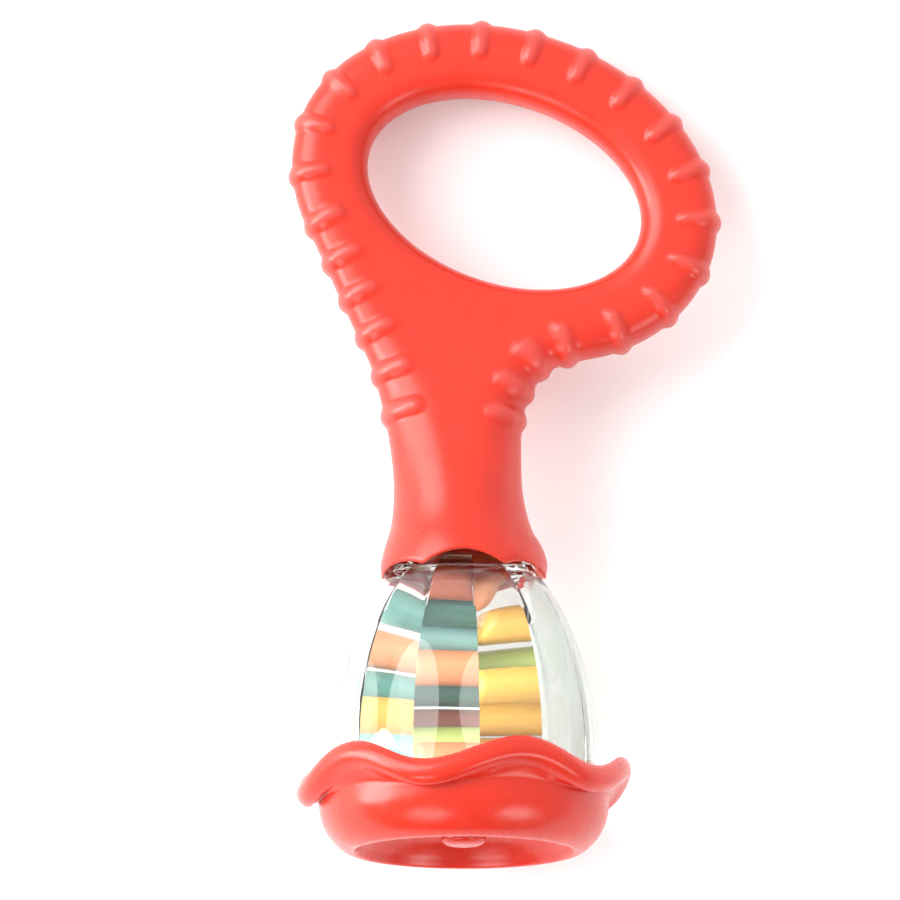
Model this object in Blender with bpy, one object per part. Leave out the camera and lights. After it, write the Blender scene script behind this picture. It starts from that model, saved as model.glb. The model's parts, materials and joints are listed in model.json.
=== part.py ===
"""Baby rattle: a looped handle in two shells, a clear chamber of loose beads and a wavy bumper.

The toy is drawn upright, in millimetres: x across the handle, v up along the chamber's axis from the
bumper's rim to the loop, and w out of its front. lay_down() then turns it onto its back, with the loop
towards +Y, and stands the lowest points of the bumper and of the loop on z = 0.
"""

from math import asin, cos, pi, radians, sin, sqrt

import bmesh
import bpy
import numpy as np

MM = 0.001
GAP = 0.3  # between pieces that touch on the real toy

# Loop: two ellipses round nearly the same centre, their long axis falling to the right
LOOP_CENTRE = (8.5, 139.1)
LOOP_TURN = radians(-20)
LOOP_OUTER = (45.6, 34.5)
LOOP_HOLE = (29.6, 19.1)
LOOP_LEAVES = (radians(222), radians(-55))  # where the flanks leave the outer ellipse, left and right
HOLE_BOTTOM = radians(-78)  # the point of the hole that the neck's middle line runs up to
HOLE_ROUNDING = 4.2

# Neck and collar: the flanks from the collar's lip up to the loop, and the neck's half thickness
LEFT_FLANK = [(-17.1, 57.8), (-17.3, 60.6), (-16.5, 63.6), (-15.0, 69.7), (-14.6, 78.0), (-15.9, 88.5),
              (-18.7, 100.4), (-21.7, 107.7), (-25.3, 115.7)]
RIGHT_FLANK = [(17.6, 101.4), (13.8, 96.0), (12.2, 90.0), (12.0, 82.0), (12.4, 75.0), (14.0, 68.4),
               (16.6, 63.2), (17.4, 60.6), (17.1, 57.8)]
MIDDLE_LINE = [(-0.2, 57.8), (-1.0, 70.0), (-1.3, 80.0), (-1.2, 90.0), (0.9, 103.0)]
NECK_DEPTH = [(57.8, 17.0), (60.6, 17.3), (64.0, 16.6), (70.0, 14.2), (77.0, 12.8), (86.0, 11.0),
              (96.0, 8.9), (106.0, 7.3), (116.0, 6.8), (180.0, 6.8)]
SIDE_ROUNDING = [(57.8, 15.6), (61.0, 16.4), (66.0, 14.6), (71.0, 13.2), (80.0, 12.4), (90.0, 12.6),
                 (98.0, 11.2), (106.0, 8.2), (116.0, 5.8), (180.0, 5.8)]
WALL = [(57.8, 0.7), (60.0, 1.2), (63.0, 2.0), (180.0, 2.0)]
NECK_EDGE = 64.0  # how far up the left flank the handle counts as neck
SHELL_ROWS = 7
SCALLOPS = 6
SCALLOP_RADIUS = 17.0
SCALLOP_FADE = 9.0
SIDE_ARCH, FRONT_ARCH, ARCH_SHARPNESS = 0.9, 1.9, 0.8  # the arches' heights and how pointed they are

# Teething ribs: (how many, spacing), from the left flank over the loop to the right flank
RIB_RUNS = [(5, 8.6), (16, 11.75), (3, 5.7)]
FIRST_RIB = 34.2
RIB_HEIGHT = 1.0
RIB_HALF_WIDTH = 1.5
RIB_REACH = 8.2
RIB_CREST = 0.6  # the share of a rib's half width that stands at full height

# Clear chamber: an ellipsoid outside, flat facets inside
DOME_RADIUS = 27.9
DOME_HALF_LENGTH = 48.5
DOME_WAIST = 18.0
DOME_WALL = 1.6
DOME_CROWN_WALL = 3.0
DOME_RIM = 10.8
FACETS = 12
FACET_TURN = radians(7)
COLUMNS_PER_FACET = 3
STUD_RADIUS = 5.0
STUD_HEAD_RADIUS = 6.6
STUD_TOP = 78.0
SHOULDER = [(10.6, 65.4), (12.8, 64.4), (13.8, 62.6), (14.7, 60.0)]  # radius, height, under the collar
BULKHEADS = [(71.6, 74.4), (78.4, 80.4)]  # walls inside the neck, below and above the stud's head
BULKHEAD_CENTRE = -1.0
BULKHEAD_SINK = 1.0  # how far inside the neck's outer surface a bulkhead ends
NECK_SPREAD = 0.6  # how much wider than deep the neck is on each side

# Bumper, chamber floor and retaining plug
LIP_WAVE = [(-43.6, 1.7), (-14.0, -3.2), (22.5, 1.8), (54.0, -2.6), (88.4, 1.6), (126.4, -2.6),
            (164.4, 1.8), (202.4, -3.0), (240.4, 1.8), (278.4, -3.6), (316.4, 1.7)]  # turn in degrees, rise
WAVE_START, WAVE_SPAN = 28.8, 3.4  # radii over which the wave grows
WAVE_FOOT, WAVE_CLIMB = 9.8, 3.0  # heights over which it grows
BUMPER_RADIUS = 34.8
RIM_OUTER, RIM_INNER = 24.0, 22.6
WEB_TOP, WEB_BOTTOM = 10.4, 8.2
FLOOR_TOP = 15.8
FLOOR_SKIN = 2.0
SKIRT_WALL = 1.6
SOCKET_RADIUS = 5.2
PLUG_RADIUS = 4.6
STEM_RADIUS = 2.8

# Beads
BEAD_RADIUS = 3.8
BEAD_HALF_LENGTH = 3.2
BEAD_CHAMFER = 0.6
BEAD_CLEARANCE = 2 * BEAD_RADIUS + GAP - 0.001

RED = (0.93, 0.105, 0.055)
BEAD_COLOURS = {
    "orange": (0.95, 0.30, 0.12),
    "amber": (0.90, 0.48, 0.05),
    "lime": (0.45, 0.60, 0.10),
    "teal": (0.06, 0.25, 0.24),
    "blue": (0.20, 0.55, 0.62),
    "brick": (0.52, 0.10, 0.05),
}
# Beads that move together: each one's place across the toy, height and colour, in the order in which
# they drop onto the chamber's wall and onto each other
BEAD_GROUPS = [
    [(-3.3, 19.9, "amber"), (-3.3, 29.3, "brick"), (-3.3, 24.6, "lime"), (-3.3, 20.3, "orange")],
    [(-3.3, 37.2, "teal"), (-3.3, 46.8, "blue"), (-3.3, 52.8, "teal"), (-3.3, 40.2, "orange"),
     (-3.3, 57.2, "brick")],
    [(-16.9, 23.0, "blue"), (-16.9, 35.0, "teal"), (-16.9, 29.0, "amber")],
    [(-13.5, 43.3, "orange"), (-10.9, 51.2, "teal")],
    [(-10.1, 27.5, "lime"), (-10.1, 35.4, "teal"), (-10.1, 31.45, "blue")],
    [(3.5, 19.9, "lime"), (3.5, 29.3, "blue"), (3.5, 24.6, "orange")],
    [(3.5, 38.9, "orange"), (3.5, 46.8, "teal"), (3.5, 42.85, "lime")],
    [(3.8, 56.0, "orange")],
    [(10.3, 22.9, "amber")],
    [(10.3, 30.8, "amber"), (10.3, 41.0, "lime"), (10.3, 36.0, "amber")],
    [(10.3, 48.9, "amber")],
]


def clear_scene():
    for obj in list(bpy.data.objects):
        bpy.data.objects.remove(obj, do_unlink=True)


def material(name, colour, roughness, transmission=0.0):
    made = bpy.data.materials.new(name)
    made.use_nodes = True
    shader = made.node_tree.nodes["Principled BSDF"]
    shader.inputs["Base Color"].default_value = (*colour, 1.0)
    shader.inputs["Roughness"].default_value = roughness
    shader.inputs["Metallic"].default_value = 0.0
    shader.inputs["Transmission Weight"].default_value = transmission
    made.diffuse_color = (*colour, 1.0)
    return made


def add_mesh(name, points, faces, surface, parent):
    """One closed body from points in (x, v, w) millimetres, held in the toy's upright axes."""
    mesh = bpy.data.meshes.new(name)
    x, v, w = np.asarray(points, float).T * MM
    mesh.from_pydata(np.stack([x, -w, v], axis=1).tolist(), [], faces)
    work = bmesh.new()
    work.from_mesh(mesh)
    bmesh.ops.remove_doubles(work, verts=work.verts, dist=1e-6)
    bmesh.ops.dissolve_degenerate(work, edges=work.edges, dist=1e-7)
    bmesh.ops.recalc_face_normals(work, faces=work.faces)
    work.to_mesh(mesh)
    work.free()
    mesh.shade_smooth()
    mesh.set_sharp_from_angle(angle=radians(40))
    mesh.materials.append(surface)
    obj = bpy.data.objects.new(name, mesh)
    bpy.context.scene.collection.objects.link(obj)
    obj.parent = parent
    return obj


def strips(grid, wrap=False):
    """Quads between the neighbouring rows and columns of a grid of point numbers."""
    nxt = np.roll(grid, -1, axis=0) if wrap else grid[1:]
    here = grid if wrap else grid[:-1]
    quads = [here[:, :-1], nxt[:, :-1], nxt[:, 1:], here[:, 1:]]
    return np.stack(quads, axis=-1).reshape(-1, 4).tolist()


def lathe(name, profile, surface, parent, segments=48, closed=True, shape=None, turn=0.0):
    """A profile of (radius, height) turned round the axis; shape may move each point by its angle."""
    angles = turn + np.arange(segments) * 2 * pi / segments
    points = []
    for angle in angles:
        for step, (radius, height) in enumerate(profile):
            if shape:
                radius, height = shape(step, radius, height, angle)
            points.append((radius * sin(angle), height, radius * cos(angle)))
    grid = np.arange(len(points)).reshape(segments, len(profile))
    if closed:
        grid = np.concatenate([grid, grid[:, :1]], axis=1)
    return add_mesh(name, points, strips(grid, wrap=True), surface, parent)


# ---------------------------------------------------------------- handle


def smooth_path(knots, per_span=10):
    """Catmull-Rom curve through the knots."""
    knots = np.asarray(knots, float)
    ends = np.concatenate([[2 * knots[0] - knots[1]], knots, [2 * knots[-1] - knots[-2]]])
    t = np.linspace(0, 1, per_span, endpoint=False)[:, None]
    spans = []
    for a, b, c, d in zip(ends, ends[1:], ends[2:], ends[3:]):
        bend = (2 * a - 5 * b + 4 * c - d) * t**2 + (3 * b - a - 3 * c + d) * t**3
        spans.append(b + 0.5 * ((c - a) * t + bend))
    return np.concatenate([*spans, knots[-1:]])


def on_ellipse(axes, angles, grow=0.0):
    """Points of an ellipse round the loop's centre, each moved out by grow along its normal."""
    c, s = np.cos(angles), np.sin(angles)
    normal = np.stack([c / axes[0], s / axes[1]], axis=-1)
    normal /= np.linalg.norm(normal, axis=-1, keepdims=True)
    flat = np.stack([axes[0] * c, axes[1] * s], axis=-1) + grow * normal
    turn = np.array([[cos(LOOP_TURN), sin(LOOP_TURN)], [-sin(LOOP_TURN), cos(LOOP_TURN)]])
    return flat @ turn + LOOP_CENTRE


def outline():
    """The handle's edge, from the collar's left end over the loop to its right end."""
    over = on_ellipse(LOOP_OUTER, np.linspace(*LOOP_LEAVES, 28))
    return smooth_path([*LEFT_FLANK, *over, *RIGHT_FLANK])


def lengths(path):
    return np.concatenate([[0], np.cumsum(np.linalg.norm(np.diff(path, axis=0), axis=1))])


def along(path, places):
    """Points and inward normals at these lengths along a path that runs clockwise."""
    run = lengths(path)
    at = np.stack([np.interp(places, run, path[:, i]) for i in (0, 1)], axis=1)
    ahead = np.stack([np.interp(places + 0.4, run, path[:, i]) for i in (0, 1)], axis=1)
    behind = np.stack([np.interp(places - 0.4, run, path[:, i]) for i in (0, 1)], axis=1)
    d = ahead - behind
    d /= np.linalg.norm(d, axis=1, keepdims=True)
    return at, np.stack([d[:, 1], -d[:, 0]], axis=1)


def distance_to(path, points):
    """The distance from each point to the nearest part of a path."""
    a, b = path[:-1], path[1:]
    span = b - a
    best = np.full(len(points), np.inf)
    for start, step in zip(a, span):
        share = np.clip(((points - start) @ step) / (step @ step), 0, 1)
        best = np.minimum(best, np.linalg.norm(points - start - share[:, None] * step, axis=1))
    return best


def table(knots, at):
    knots = smooth_path(knots)
    return np.interp(at, knots[:, 0], knots[:, 1])


def quarter_round(x):
    return np.sqrt(1 - (1 - np.clip(x, 0, 1)) ** 2)


def rib_places():
    places = [FIRST_RIB]
    for count, spacing in RIB_RUNS:
        places += [places[-1] + spacing * (i + 1) for i in range(count)]
    return np.array(places)


def scalloped(points):
    """Lifts the lower end of the collar into arches, one at the front and one every sixth turn."""
    side = np.arcsin(np.clip(points[:, 0] / SCALLOP_RADIUS, -1, 1))
    arch = SIDE_ARCH + FRONT_ARCH * np.cos(side) ** 2
    arch = arch * np.abs(np.cos(SCALLOPS / 2 * side)) ** ARCH_SHARPNESS
    lift = arch + np.cos(side) ** 2
    fade = np.clip(1 - (points[:, 1] - LEFT_FLANK[0][1]) / SCALLOP_FADE, 0, 1)
    return points + np.stack([np.zeros(len(points)), lift * fade], axis=1)


def half_surface(edge, places, rows, inside):
    """A grid of points over one half of the handle, from its edge (first row) to the hole or to the
    neck's middle line (last row), on the outside of the wall or on its inside."""
    at, inward = along(edge, places)
    start = at + inside * table(WALL, at[:, 1])[:, None] * inward
    hole_wall = inside * WALL[-1][1]
    neck = np.searchsorted(places, NECK_EDGE)
    up_left = places[:neck] / places[neck]
    up_right = (places[-1] - places[::-1][:neck]) / (places[-1] - places[-1 - neck])
    into_loop = (places - places[neck]) / (places[-1 - neck] - places[neck])
    goal = on_ellipse(LOOP_HOLE, HOLE_BOTTOM - 2 * pi * into_loop, hole_wall)
    middle = smooth_path([*MIDDLE_LINE, on_ellipse(LOOP_HOLE, np.array([HOLE_BOTTOM]), hole_wall)[0]])
    middle_run = lengths(middle)
    climbed = (up_left + up_right) / 2 * middle_run[-1]
    goal[:neck] = np.stack([np.interp(climbed, middle_run, middle[:, k]) for k in (0, 1)], axis=1)
    goal[-neck:] = goal[:neck][::-1]
    in_loop = (np.arange(len(places)) >= neck) & (np.arange(len(places)) < len(places) - neck)
    share = (1 - np.cos(np.linspace(0, pi, rows))) / 2
    flat = start[:, None] + (goal - start)[:, None] * share[None, :, None]
    flat = scalloped(flat.reshape(-1, 2))
    hole = on_ellipse(LOOP_HOLE, np.linspace(0, 2 * pi, 121), hole_wall)
    inset = inside * table(WALL, flat[:, 1])
    from_edge = distance_to(flat[::rows], flat)
    from_hole = distance_to(hole, flat)
    grid = np.arange(len(flat)).reshape(len(places), rows)
    from_edge[grid[:, 0]] = 0
    from_hole[grid[in_loop, -1]] = 0
    rounding = table(SIDE_ROUNDING, flat[:, 1]) - inset
    depth = table(NECK_DEPTH, flat[:, 1]) - inset
    rise = quarter_round(from_edge / rounding)
    height = depth * rise * quarter_round(from_hole / (HOLE_ROUNDING - hole_wall))
    if not inside:
        nearest = np.abs(places[:, None] - rib_places()[None]).min(axis=1)
        swell = RIB_HEIGHT * (nearest < RIB_HALF_WIDTH * RIB_CREST)
        reach = (from_edge < RIB_REACH).reshape(len(places), rows)
        swell = (swell[:, None] * reach).reshape(-1)
        out = -np.repeat(inward, rows, axis=0)
        lean = 1 - np.clip(from_edge / rounding, 0, 1)
        flat = flat + out * (swell * lean)[:, None]
        height = height + swell * rise
    return np.column_stack([flat, height + GAP / 2]), grid, in_loop


def handle_columns(edge):
    """Places along the edge: four at each rib, one between ribs and a few down the neck."""
    run = lengths(edge)[-1]
    ribs = rib_places()
    steps = RIB_HALF_WIDTH * np.array([-1, -0.5, 0.5, 1])
    below = np.linspace(0, ribs[0] - 4, 9)
    beyond = np.linspace(ribs[-1] + 4, run, 9)
    between = [(a + b) / 2 for a, b in zip(ribs, ribs[1:]) if b - a > 7]
    return np.sort(np.concatenate([below, *(ribs[:, None] + steps), between, beyond]))


def bulkhead(name, low, high, side, surface, parent):
    """Half of a wall across the neck, with half of the hole that the dome's stud passes through."""
    points = []
    depth = table(NECK_DEPTH, high) - BULKHEAD_SINK
    for turn in np.linspace(-pi / 2, pi / 2, 17):
        outer = (BULKHEAD_CENTRE + (depth + NECK_SPREAD) * sin(turn), depth * cos(turn))
        inner = ((STUD_RADIUS + GAP) * sin(turn), (STUD_RADIUS + GAP) * cos(turn))
        for (across, out), height in ((outer, low), (outer, high), (inner, high), (inner, low)):
            points.append((across, height, side * (out + GAP / 2)))
    grid = np.arange(len(points)).reshape(-1, 4)
    faces = strips(np.concatenate([grid, grid[:, :1]], axis=1))
    faces += [grid[0].tolist(), grid[-1].tolist()]
    wall = add_mesh(name, points, faces, surface, parent)
    wall.hide_render = True
    wall.display_type = "WIRE"
    return wall


def handle_shell(name, side, surface, parent):
    """One shell: side is 1 for the front and -1 for the rear."""
    edge = outline()
    places = handle_columns(edge)
    outer, grid, in_loop = half_surface(edge, places, SHELL_ROWS, False)
    inner, inner_grid, _ = half_surface(edge, places, SHELL_ROWS, True)
    inner_grid = inner_grid + len(outer)
    points = np.concatenate([outer, inner])
    rims = [np.stack([grid[:, 0], inner_grid[:, 0]], axis=1)]
    rims.append(np.stack([grid[in_loop, -1], inner_grid[in_loop, -1]], axis=1))
    faces = strips(grid) + strips(inner_grid)
    for rim in rims:
        faces += strips(rim)
    for column in (0, -1):
        faces += strips(np.stack([grid[column], inner_grid[column]], axis=1))
    points[:, 2] *= side
    shell = add_mesh(name, points, faces, surface, parent)
    for number, (low, high) in enumerate(BULKHEADS, 1):
        wall = bulkhead(f"{name}_bulkhead_{number}", low, high, side, surface, parent)
        joined = shell.modifiers.new(wall.name, "BOOLEAN")
        joined.operation = "UNION"
        joined.solver = "EXACT"
        joined.object = wall
    return shell


# ---------------------------------------------------------------- chamber


def dome_radius(height, shrink=0.0, shorten=0.0):
    reach = (height - DOME_WAIST) / (DOME_HALF_LENGTH - shorten)
    return (DOME_RADIUS - shrink) * sqrt(max(1 - reach * reach, 0))


def dome_line(first, last, count, shrink=0.0, shorten=0.0):
    """Profile points of the ellipsoid between two heights, closer together towards its crown."""
    length = DOME_HALF_LENGTH - shorten
    turns = np.linspace(asin((first - DOME_WAIST) / length), asin((last - DOME_WAIST) / length), count)
    return [((DOME_RADIUS - shrink) * cos(t), DOME_WAIST + length * sin(t)) for t in turns]


def clear_dome(surface, parent):
    head = STUD_TOP - 3.0
    foot = SHOULDER[0][1] + 0.6
    outside = [(0, STUD_TOP), (STUD_HEAD_RADIUS, STUD_TOP), (STUD_HEAD_RADIUS, head), (STUD_RADIUS, head)]
    outside += [(STUD_RADIUS, foot), *SHOULDER]
    outside += dome_line(SHOULDER[-1][1] - 1.9, DOME_RIM, 10)
    crown = DOME_WAIST + DOME_HALF_LENGTH - DOME_CROWN_WALL
    inside = dome_line(DOME_RIM, crown, 12, DOME_WALL, DOME_CROWN_WALL)
    first_inside = len(outside)

    def facet(step, radius, height, angle):
        if step < first_inside:
            return radius, height
        part = 2 * pi / FACETS
        off = (angle - FACET_TURN) % part - part / 2
        return radius * cos(part / 2) / cos(off), height

    return lathe("clear_dome", outside + inside, surface, parent, FACETS * COLUMNS_PER_FACET, False,
                 facet, FACET_TURN)


def chamber_floor(surface, parent):
    outer = (DOME_RADIUS - DOME_WALL) * cos(pi / FACETS) - GAP
    low = WEB_TOP + GAP
    under = FLOOR_TOP - FLOOR_SKIN
    profile = [(0, FLOOR_TOP), (outer, FLOOR_TOP), (outer, low), (outer - SKIRT_WALL, low),
               (outer - SKIRT_WALL, under), (SOCKET_RADIUS, under), (SOCKET_RADIUS, low),
               (STEM_RADIUS + GAP, low), (STEM_RADIUS + GAP, under), (0, under)]
    return lathe("chamber_floor", profile, surface, parent, 36, closed=False)


def bumper(surface, parent):
    """Turned cup with a lip that waves up and down round its edge."""
    inner = DOME_RADIUS + GAP
    profile = [
        (inner, 15.0), (29.4, 15.6), (31.2, 17.3), (32.8, 18.2), (34.2, 17.4), (BUMPER_RADIUS, 15.7),
        (34.4, 13.9), (33.2, 12.7), (31.6, 12.0), (30.2, 11.2), (30.1, 9.8), (29.6, 7.0), (28.3, 4.2),
        (26.2, 1.6), (RIM_OUTER, 0.0), (RIM_INNER, 0.0), (21.6, 2.4), (18.6, 5.6), (13.0, 7.8),
        (STEM_RADIUS + GAP, WEB_BOTTOM), (STEM_RADIUS + GAP, WEB_TOP), (inner, WEB_TOP),
    ]

    turns = [radians(turn) for turn, _ in LIP_WAVE]

    def wave(step, radius, height, angle):
        share = min(max((radius - WAVE_START) / WAVE_SPAN, 0), 1)
        above_bulge = min(max((height - WAVE_FOOT) / WAVE_CLIMB, 0), 1)
        angle = (angle - turns[0]) % (2 * pi) + turns[0]
        after = next(k for k in range(1, len(turns)) if turns[k] > angle)
        low, high = LIP_WAVE[after - 1][1], LIP_WAVE[after][1]
        passed = (angle - turns[after - 1]) / (turns[after] - turns[after - 1])
        swing = low + (high - low) * (1 - cos(pi * passed)) / 2
        return radius, height + swing * share * above_bulge

    return lathe("base_bumper", profile, surface, parent, 72, shape=wave)


def retaining_plug(surface, parent):
    top = FLOOR_TOP - FLOOR_SKIN - GAP
    under_head = WEB_BOTTOM - GAP
    profile = [(0, top), (STEM_RADIUS - 0.5, top), (STEM_RADIUS, top - 1), (STEM_RADIUS, under_head),
               (PLUG_RADIUS, under_head), (PLUG_RADIUS, 2.4), (PLUG_RADIUS - 1, 1.5), (0, 1.3)]
    return lathe("retaining_plug", profile, surface, parent, 24, closed=False)


# ---------------------------------------------------------------- beads


def rest_depth(across, height):
    """How far behind the axis a bead can lie here with the wall's gap all round it."""
    limits = []
    for turn in np.linspace(0, 2 * pi, 25):
        h = height + BEAD_RADIUS * sin(turn)
        wall = dome_radius(h, DOME_WALL, DOME_CROWN_WALL) * cos(pi / FACETS) - GAP
        reach = abs(across) + BEAD_HALF_LENGTH
        limits.append(sqrt(max(wall * wall - reach * reach, 0)) - BEAD_RADIUS * cos(turn))
    return min(limits)


def bead_mesh():
    r, c, n = BEAD_RADIUS, BEAD_CHAMFER, BEAD_HALF_LENGTH
    profile = [(-n, 0), (-n, r - c), (c - n, r), (n - c, r), (n, r - c), (n, 0)]
    points, sides = [], 12
    for i in range(sides):
        turn = 2 * pi * i / sides
        points += [(x, radius * sin(turn), radius * cos(turn)) for x, radius in profile]
    grid = np.arange(len(points)).reshape(sides, len(profile))
    return points, strips(grid, wrap=True)


def dropped_depth(across, height, lying):
    """How far behind the axis a bead comes to rest on the wall or on beads that lie there already."""
    depth = rest_depth(across, height)
    for other_height, other_depth in lying:
        apart = BEAD_CLEARANCE**2 - (height - other_height) ** 2
        if apart > 0:
            depth = min(depth, other_depth - sqrt(apart))
    return depth


def beads(colours, parent):
    """One mesh for each bead, named by its group, its letter in the group and its colour."""
    for number, members in enumerate(BEAD_GROUPS, 1):
        lying = []
        for letter, (across, height, colour) in zip("abcde", members):
            depth = dropped_depth(across, height, lying)
            lying.append((height, depth))
            points, faces = bead_mesh()
            name = f"bead_{number:02d}{letter}_{colour}"
            bead = add_mesh(name, points, faces, colours[colour], parent)
            bead.location = (across * MM, depth * MM, height * MM)


# ---------------------------------------------------------------- placing


def world_points(objects):
    bpy.context.view_layer.update()
    return np.array([obj.matrix_world @ v.co for obj in objects for v in obj.data.vertices])


def lay_down(pose, bumper_obj, handle_obj):
    """Turns the toy onto its back until the bumper and the loop are equally low, then centres it."""
    low, high = 0.0, radians(25)
    for _ in range(40):
        tilt = (low + high) / 2
        pose.rotation_euler = (-pi / 2 - tilt, 0, 0)
        gap = world_points([handle_obj])[:, 2].min() - world_points([bumper_obj])[:, 2].min()
        low, high = (tilt, high) if gap > 0 else (low, tilt)
    whole = world_points([o for o in bpy.context.scene.objects if o.type == "MESH"])
    centre = (whole.min(axis=0) + whole.max(axis=0)) / 2
    pose.location = (-centre[0], -centre[1], -whole[:, 2].min())


def main():
    clear_scene()
    red = material("red_plastic", RED, 0.35)
    clear = material("clear_plastic", (0.95, 0.98, 0.97), 0.05, transmission=1.0)
    white = material("white_plastic", (0.85, 0.87, 0.85), 0.4)
    colours = {name: material(f"{name}_bead", rgb, 0.4) for name, rgb in BEAD_COLOURS.items()}
    pose = bpy.data.objects.new("lying_pose", None)
    bpy.context.scene.collection.objects.link(pose)
    handle_shell("handle_front_shell", 1, red, pose)
    rear = handle_shell("handle_rear_shell", -1, red, pose)
    clear_dome(clear, pose)
    chamber_floor(white, pose)
    cup = bumper(red, pose)
    retaining_plug(red, pose)
    beads(colours, pose)
    lay_down(pose, cup, rear)


main()
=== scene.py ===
"""Looks of a looped baby rattle: red handle with teething ribs, clear bead chamber and wavy bumper.

Shapes are worked out in the toy's own millimetres: x across the handle, v up along the chamber's axis
from the bumper's rim to the loop, and w out of the toy's front. lay() turns them into the frame's metres.
"""

import json
from math import cos, pi, radians, sin

import bmesh
import bpy
import numpy as np
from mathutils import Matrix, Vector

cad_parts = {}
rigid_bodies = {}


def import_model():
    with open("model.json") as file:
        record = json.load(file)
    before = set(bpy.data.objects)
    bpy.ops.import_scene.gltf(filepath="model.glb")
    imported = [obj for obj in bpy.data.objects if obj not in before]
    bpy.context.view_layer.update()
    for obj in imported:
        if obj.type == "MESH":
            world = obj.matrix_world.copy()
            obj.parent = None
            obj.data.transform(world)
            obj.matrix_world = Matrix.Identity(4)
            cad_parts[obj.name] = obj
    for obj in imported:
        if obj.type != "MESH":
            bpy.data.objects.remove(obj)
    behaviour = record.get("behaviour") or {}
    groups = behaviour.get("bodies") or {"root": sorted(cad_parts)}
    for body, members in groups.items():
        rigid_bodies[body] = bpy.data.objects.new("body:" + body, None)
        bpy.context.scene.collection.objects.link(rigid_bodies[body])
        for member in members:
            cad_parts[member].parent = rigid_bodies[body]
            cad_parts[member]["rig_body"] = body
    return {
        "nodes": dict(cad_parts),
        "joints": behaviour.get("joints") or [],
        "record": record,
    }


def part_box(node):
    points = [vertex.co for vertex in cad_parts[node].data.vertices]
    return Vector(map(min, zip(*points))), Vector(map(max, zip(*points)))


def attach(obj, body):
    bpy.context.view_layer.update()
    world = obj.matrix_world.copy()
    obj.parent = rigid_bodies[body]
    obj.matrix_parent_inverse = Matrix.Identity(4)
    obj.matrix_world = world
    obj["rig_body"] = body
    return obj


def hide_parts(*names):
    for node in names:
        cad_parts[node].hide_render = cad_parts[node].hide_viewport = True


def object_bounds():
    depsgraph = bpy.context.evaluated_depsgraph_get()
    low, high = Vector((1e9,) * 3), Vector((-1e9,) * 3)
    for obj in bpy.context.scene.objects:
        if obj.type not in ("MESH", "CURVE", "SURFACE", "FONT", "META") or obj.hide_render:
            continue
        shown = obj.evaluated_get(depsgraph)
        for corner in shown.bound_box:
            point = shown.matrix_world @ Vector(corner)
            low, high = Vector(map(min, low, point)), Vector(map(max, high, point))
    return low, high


bl_info = {
    "name": "Baby rattle",
    "version": (1, 0, 0),
    "blender": (4, 5, 0),
    "location": "3D View > Sidebar > Rattle",
    "description": "Detailed handle, bead chamber, bumper and beads of a baby rattle",
    "category": "Object",
}

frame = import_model()
CAD_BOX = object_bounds()

MM = 0.001
BODY = "toy"
RIM_MOUNT_HEIGHT = 23.3  # mm from the axis to the rim's mount, towards the front

# Handle, in millimetres
LOOP_CENTRE = (8.5, 139.1)
LOOP_TURN = radians(-20)
LOOP_OUTER = (45.6, 34.5)
LOOP_HOLE = (29.6, 19.1)
LOOP_LEAVES = (radians(222), radians(-55))
HOLE_BOTTOM = radians(-78)
LEFT_FLANK = [(-17.1, 57.8), (-17.3, 60.6), (-16.5, 63.6), (-15.0, 69.7), (-14.6, 78.0), (-15.9, 88.5),
              (-18.7, 100.4), (-21.7, 107.7), (-25.3, 115.7)]
RIGHT_FLANK = [(17.6, 101.4), (13.8, 96.0), (12.2, 90.0), (12.0, 82.0), (12.4, 75.0), (14.0, 68.4),
               (16.6, 63.2), (17.4, 60.6), (17.1, 57.8)]
MIDDLE_LINE = [(-0.2, 57.8), (-1.0, 70.0), (-1.3, 80.0), (-1.2, 90.0), (0.9, 103.0)]
NECK_DEPTH = [(57.8, 17.0), (60.6, 17.3), (64.0, 16.6), (70.0, 14.2), (77.0, 12.8), (86.0, 11.0),
              (96.0, 8.9), (106.0, 7.3), (116.0, 6.8), (180.0, 6.8)]
SIDE_ROUNDING = [(57.8, 15.6), (61.0, 16.4), (66.0, 14.6), (71.0, 13.2), (80.0, 12.4), (90.0, 12.4),
                 (98.0, 11.4), (106.0, 8.8), (116.0, 7.2), (180.0, 7.2)]
FULLNESS = [(57.8, 2.0), (75.0, 2.0), (96.0, 2.3), (116.0, 2.6), (180.0, 2.6)]
HOLE_ROUNDING = 6.0
HOLE_FULLNESS = 2.6
WALL = [(57.8, 0.7), (60.0, 1.2), (63.0, 2.0), (180.0, 2.0)]
NECK_EDGE = 64.0
SCALLOPS = 6
SCALLOP_RADIUS = 17.0
SCALLOP_FADE = 9.0
SIDE_ARCH, FRONT_ARCH, ARCH_SHARPNESS = 0.9, 1.9, 0.8
LIP_STEPS = 5
LOOP_POINTS = 28  # knots on the loop's outer ellipse
SLOPE_STEP = 0.3
PARTING_GAP = 0.06
PARTING_DEPTH = 0.16
RIB_RUNS = [(5, 8.6), (16, 11.75), (3, 5.7)]
FIRST_RIB = 34.2

# Chamber
DOME_RADIUS = 27.9
DOME_HALF_LENGTH = 48.5
DOME_WAIST = 18.0
DOME_CROWN_WALL = 3.0
DOME_RIM = 10.8
STUD_RADIUS, STUD_HEAD_RADIUS, STUD_TOP, STUD_HEAD = 5.0, 6.6, 78.0, 75.0
SHOULDER = [(10.6, 65.4), (12.8, 64.4), (13.8, 62.6), (14.7, 60.0)]
SHOULDER_DROP = 1.9
STUD_FILLET = 0.6

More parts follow.
